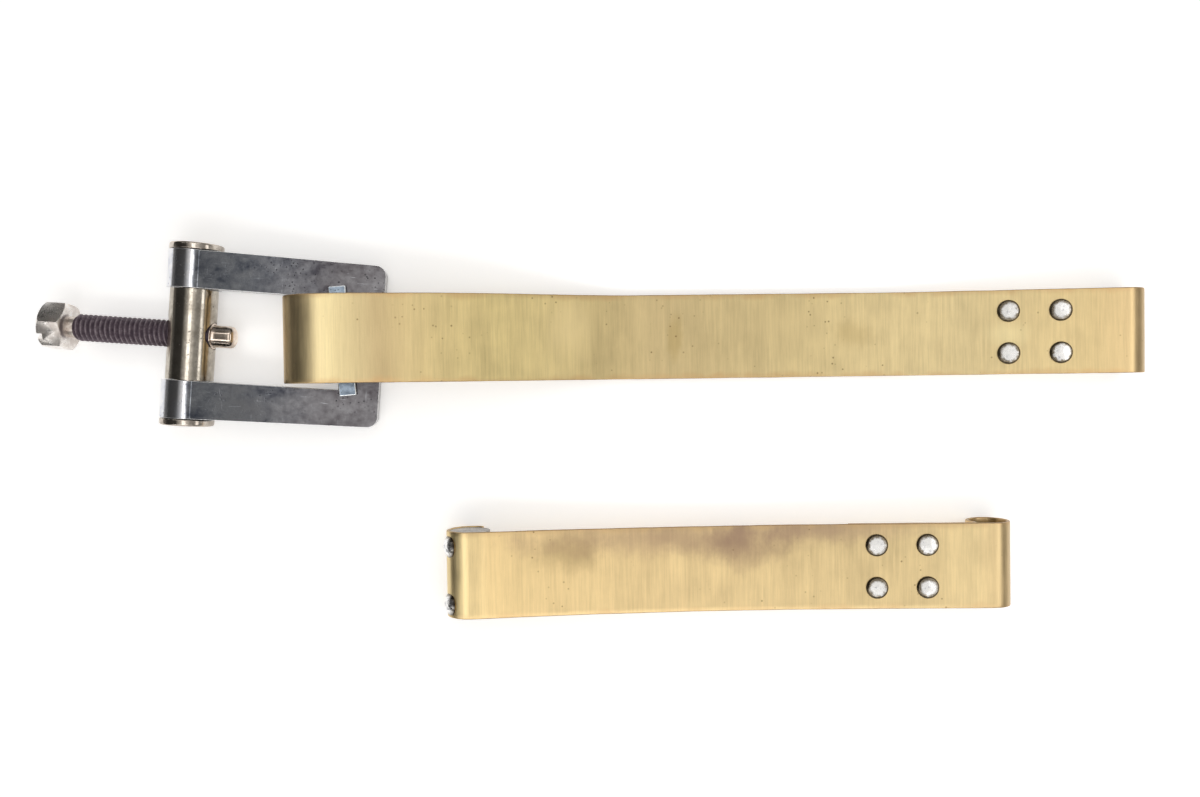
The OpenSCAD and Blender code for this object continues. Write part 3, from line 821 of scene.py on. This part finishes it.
verts, faces = helical_shank()
screw = new_object("tension_screw_turned", verts, faces, M_SCREW)
bm = bmesh.new()
bm.from_mesh(screw.data)
bmesh.ops.remove_doubles(bm, verts=bm.verts, dist=1e-6)
bmesh.ops.dissolve_degenerate(bm, edges=bm.edges, dist=1e-6)
zlo, zhi = THREAD_A * MM, THREAD_B * MM
for z_end in (zlo, zhi):                       # drop what lies flat in the end planes
    flat = [f for f in bm.faces if all(abs(v.co.z - z_end) < 1e-6 for v in f.verts)]
    bmesh.ops.delete(bm, geom=flat, context="FACES")
loose = [v for v in bm.verts if not v.link_faces]
bmesh.ops.delete(bm, geom=loose, context="VERTS")
for z_end, chain in ((zlo, ((NECK_R, THREAD_A - 0.15), (NECK_R, HEAD_B - 0.6))), (zhi, ((1.85, THREAD_B), (1.85, THREAD_B - 8)))):
    edges = [e for e in bm.edges if e.is_boundary and all(abs(v.co.z - z_end) < 1e-5 for v in e.verts)]
    for r, z in chain:
        made = bmesh.ops.extrude_edge_only(bm, edges=edges)["geom"]
        edges = [g for g in made if isinstance(g, bmesh.types.BMEdge) and g.is_boundary]
        for v in {v for e in edges for v in e.verts}:
            a = math.atan2(v.co.y, v.co.x)
            v.co = Vector((r * MM * math.cos(a), r * MM * math.sin(a), z * MM))
        edges = [e for e in bm.edges if e.is_boundary and all(abs(v.co.z - z * MM) < 1e-6 and abs(math.hypot(v.co.x, v.co.y) - r * MM) < 1e-6 for v in e.verts)]
    bmesh.ops.holes_fill(bm, edges=edges, sides=0)
bmesh.ops.remove_doubles(bm, verts=bm.verts, dist=1e-6)
bmesh.ops.recalc_face_normals(bm, faces=bm.faces)
bm.to_mesh(screw.data)
bm.free()
screw.data.polygons.foreach_set("use_smooth", [True] * len(screw.data.polygons))
crease_by_angle(screw, 40)

hex_r = HEAD_AF / math.sqrt(3)
head = prism("screw_head_hex", [(hex_r * math.cos(rad(60 * k)), hex_r * math.sin(rad(60 * k))) for k in range(6)],
             HEAD_A, HEAD_B, M_SCREW @ RZ(-7))
verts, faces = lathe([(0, HEAD_A - 0.001), (4.9, HEAD_A), (5.9, HEAD_A + 0.22), (6.6, HEAD_A + 0.62), (7.1, HEAD_A + 1.15), (7.45, HEAD_A + 1.75),
                      (7.45, HEAD_B - 1.0), (7.1, HEAD_B - 0.62), (6.5, HEAD_B - 0.24), (5.9, HEAD_B), (0, HEAD_B + 0.001)], 96)
turned = new_object("head_turned", verts, faces, M_SCREW, smooth=False)
fix_normals(turned)
boolean(head, turned, "INTERSECT")
slot_cut = prism("slot_cut", [(-10, -0.9), (10, -0.9), (10, 0.9), (-10, 0.9)], HEAD_A - 1, HEAD_A + 2.0, M_SCREW @ RZ(32.5))
boolean(head, slot_cut, "DIFFERENCE")
soften(head, 0.22, 3, 24, 34)
apply_modifiers(head)
# the head and the shank become one closed mesh
for p in screw.data.polygons:
    p.material_index = 0
thread_mat = Mat("screw_thread", 0.35)
tm = thread_mat
g = tm.noise(700, 5, 0.6)
around = tm.noise(1, 4, 0.6, tm.mapped((900, 900, 120)))
tcol = tm.ramp(g, [(0.32, lin(88, 76, 86)), (0.55, lin(112, 99, 108)), (0.7, lin(142, 130, 137))])
tx, ty = tm.xyz.outputs[0], tm.xyz.outputs[1]
tr = tm.math("SQRT", tm.math("ADD", tm.math("MULTIPLY", tx, tx), tm.math("MULTIPLY", ty, ty)))
worn = tm.math("MULTIPLY", tm.remap(tr, 0.00372, 0.00392), tm.remap(around, 0.38, 0.62))
tcol = tm.mix(tm.math("MULTIPLY", worn, 0.4), tcol, lin(190, 178, 182))
# painted shade in the thread roots
root_shade = tm.remap(tr, 0.00345, 0.00318)
tcol = tm.mix(tm.math("MULTIPLY", root_shade, 0.3), tcol, lin(70, 58, 70))
tm.b.inputs["Specular IOR Level"].default_value = 0.3
thread_material = tm.finish(tcol, tm.remap(g, 0.3, 0.7, 0.46, 0.6), g, 0.3, 0.00005)
neck_material = plated("screw_bright", (206, 197, 190), (250, 247, 243), None, (0.2, 0.36), 1.6, 0.55, 0.35, 6, 0.3)
screw.data.materials.append(thread_material)
screw.data.materials.append(neck_material)
for p in screw.data.polygons:
    if p.center.z < (THREAD_A + 0.1) * MM:
        p.material_index = 1
head.data.materials.append(thread_material)
head.data.materials.append(neck_material)
for p in head.data.polygons:
    p.material_index = 1
boolean(screw, head, "UNION")
screw.data.polygons.foreach_set("use_smooth", [True] * len(screw.data.polygons))
crease_by_angle(screw, 38)
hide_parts("tension_screw")
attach(screw, "tension_screw")

# ------------------------------------------------------------------ thrust tip
TIP_A, TIP_B, TIP_C = THREAD_B + 0.3, 11.5, 13.1
prof = [(0, THREAD_B - 7.5), (1.5, THREAD_B - 7.5), (1.8, THREAD_B - 7.2), (1.8, THREAD_B + 0.1), (3.8, THREAD_B + 0.1),
        (3.93, THREAD_B + 0.22), (3.93, 6.35), (3.84, 6.52), (3.6, 6.6), (TIP_R + 0.08, 6.62), (TIP_R, 6.72)]
prof += [(TIP_R, 6.72 + (TIP_B - 6.72) * k / 4) for k in range(1, 5)]
prof += [(TIP_R * math.cos(rad(a)) ** 0.72, TIP_B + (TIP_C - TIP_B) * math.sin(rad(a))) for a in range(8, 89, 8)] + [(0, TIP_C)]
verts, faces = lathe(prof, 96)
tip = new_object("thrust_tip_turned", verts, faces, M_SCREW)
fix_normals(tip)
crease_by_angle(tip, 40)
tip.data.materials.append(plated("tip_steel", (178, 162, 148), (236, 222, 208), None, (0.10, 0.22), 1.8, 0.45, 0.3, 7, 0.12))
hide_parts("thrust_tip")
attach(tip, "thrust_tip")

# ------------------------------------------------------------------- cross key
e, L2 = KEY_EAR / 2, KEY_L / 2
key_out = [(-e, -L2), (e, -L2), (e, L2), (-e, L2), (-e, 12), (-e - 3.6, 12), (-e - 3.6, -12), (-e, -12)]
key = prism("cross_key_plate", key_out, 0, KEY_T, M_KEY)
# painted reflection: the key's blue-grey tone stands for cool light reflected in the steel
key.data.materials.append(plated("key_steel", (84, 93, 104), (130, 142, 154), None, (0.16, 0.3), 1.4, 0.4, 0.45, 8, 0.2))
# painted highlight: a near-white plate on the bevel faces stands for the bright outline of the rounded edges
key.data.materials.append(plated("key_edge_highlight", (222, 228, 234), (246, 250, 252), None, (0.3, 0.45), 1.4, 0.3, 0.2, 12, 0.2))
soften(key, 0.32, 3, 30, 38, 1)
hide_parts("cross_key")
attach(key, "cross_key")

# ----------------------------------------------------------- floor, light, view
size = 6.0
floor = bpy.data.objects.new("floor", bpy.data.meshes.new("floor"))
floor.data.from_pydata([(-size, -size, -0.00003), (size, -size, -0.00003), (size, size, -0.00003), (-size, size, -0.00003)], [], [(0, 1, 2, 3)])
scene.collection.objects.link(floor)
fm = bpy.data.materials.new("paper")
fm.use_nodes = True
ft = fm.node_tree
fb = ft.nodes["Principled BSDF"]
fb.inputs["Roughness"].default_value = 0.9
fb.inputs["Specular IOR Level"].default_value = 0.1
fn = ft.nodes.new("ShaderNodeTexNoise")
fn.inputs["Scale"].default_value = 900
fc = ft.nodes.new("ShaderNodeTexCoord")
ft.links.new(fc.outputs["Object"], fn.inputs["Vector"])
fr = ft.nodes.new("ShaderNodeValToRGB")
fr.color_ramp.elements[0].color = (0.90, 0.895, 0.89, 1)
fr.color_ramp.elements[1].color = (0.94, 0.938, 0.935, 1)
ft.links.new(fn.outputs["Fac"], fr.inputs[0])
ft.links.new(fr.outputs[0], fb.inputs["Base Color"])
ft.links.new(fr.outputs[0], fb.inputs["Emission Color"])
fb.inputs["Emission Strength"].default_value = 0.46
floor.data.materials.append(fm)


def area(name, at, target, sx, sy, radiance, color=(1, 1, 1)):
    light = bpy.data.lights.new(name, "AREA")
    light.shape = "RECTANGLE"
    light.size, light.size_y = sx, sy
    light.energy = radiance * math.pi * sx * sy
    light.color = color
    ob = bpy.data.objects.new(name, light)
    ob.location = at
    ob.rotation_euler = (Vector(target) - Vector(at)).to_track_quat("-Z", "Y").to_euler()
    scene.collection.objects.link(ob)
    ob.visible_camera = False
    return ob


area("top_panel", (-0.065, 0.0, 0.45), (-0.065, 0.0, 0.0), 0.12, 0.5, 1.5, (1, 0.998, 0.99))
area("right_panel", (0.255, 0.0, 0.20), (0.14, 0.0, 0.0), 0.34, 0.10, 1.7, (1, 0.99, 0.975))
area("front_panel", (-0.15, -0.42, 0.62), (-0.12, 0, 0), 1.1, 0.14, 2.6, (1, 0.995, 0.985))
area("low_panel", (-0.46, -0.78, 0.22), (-0.14, 0, 0), 0.7, 0.24, 1.7, (1, 0.995, 0.985))
area("back_panel", (-0.15, 0.46, 0.60), (-0.12, 0.02, 0), 1.1, 0.08, 1.8, (1, 0.995, 0.985))

world = bpy.data.worlds.new("studio")
scene.world = world
world.use_nodes = True
wt = world.node_tree
wt.nodes.clear()
wo = wt.nodes.new("ShaderNodeOutputWorld")
bg = wt.nodes.new("ShaderNodeBackground")
wc = wt.nodes.new("ShaderNodeTexCoord")
ws = wt.nodes.new("ShaderNodeSeparateXYZ")
wt.links.new(wc.outputs["Generated"], ws.inputs[0])


def world_ramp(socket, stops):
    """A grey ramp over one part of the direction, -1 to 1."""
    shift = wt.nodes.new("ShaderNodeMapRange")
    shift.inputs["From Min"].default_value = -1.0
    wt.links.new(socket, shift.inputs["Value"])
    ramp = wt.nodes.new("ShaderNodeValToRGB")
    while len(ramp.color_ramp.elements) < len(stops):
        ramp.color_ramp.elements.new(0.5)
    for k, (at, c) in enumerate(stops):
        ramp.color_ramp.elements[k].position = (at + 1) / 2
        ramp.color_ramp.elements[k].color = (c, c * 0.985, c * 0.965, 1)
    wt.links.new(shift.outputs[0], ramp.inputs[0])
    return ramp.outputs[0]


side = world_ramp(ws.outputs[0], [(-1.0, 0.2), (-0.92, 0.04), (-0.42, 0.05), (-0.15, 0.60), (0.0, 0.76), (0.28, 0.84), (0.42, 0.74), (0.55, 0.40), (0.95, 0.34), (1.0, 0.7)])
depth = world_ramp(ws.outputs[1], [(-1.0, 0.35), (-0.75, 0.5), (-0.6, 1.0), (0.55, 1.0), (0.72, 0.42), (1.0, 0.3)])
both = wt.nodes.new("ShaderNodeMix")
both.data_type = "RGBA"
both.blend_type = "MULTIPLY"
both.inputs[0].default_value = 1.0
wt.links.new(side, both.inputs[6])
wt.links.new(depth, both.inputs[7])
lp = wt.nodes.new("ShaderNodeLightPath")
pale = wt.nodes.new("ShaderNodeMix")
pale.data_type = "RGBA"
wt.links.new(lp.outputs["Is Camera Ray"], pale.inputs[0])
wt.links.new(both.outputs[2], pale.inputs[6])
pale.inputs[7].default_value = (0.93, 0.93, 0.93, 1)
wt.links.new(pale.outputs[2], bg.inputs[0])
bg.inputs[1].default_value = 1.0
wt.links.new(bg.outputs[0], wo.inputs[0])

cam = bpy.data.objects.new("camera", bpy.data.cameras.new("camera"))
scene.collection.objects.link(cam)
cam.data.sensor_width = 36.0
cam.data.sensor_fit = "HORIZONTAL"
cam.data.lens = 956.387 / 1200 * 36.0
cam.location = (-8.65749 * MM, 13.18663 * MM, 292.24944 * MM)
cam.rotation_mode = "XYZ"
cam.rotation_euler = (-0.01702, -0.02682, -0.01329)
cam.data.clip_start, cam.data.clip_end = 0.01, 50
scene.camera = cam
scene.view_settings.view_transform = "Standard"
scene.view_settings.look = "None"
scene.view_settings.exposure = 0.0
scene.view_settings.gamma = 1.0

bpy.context.view_layer.update()
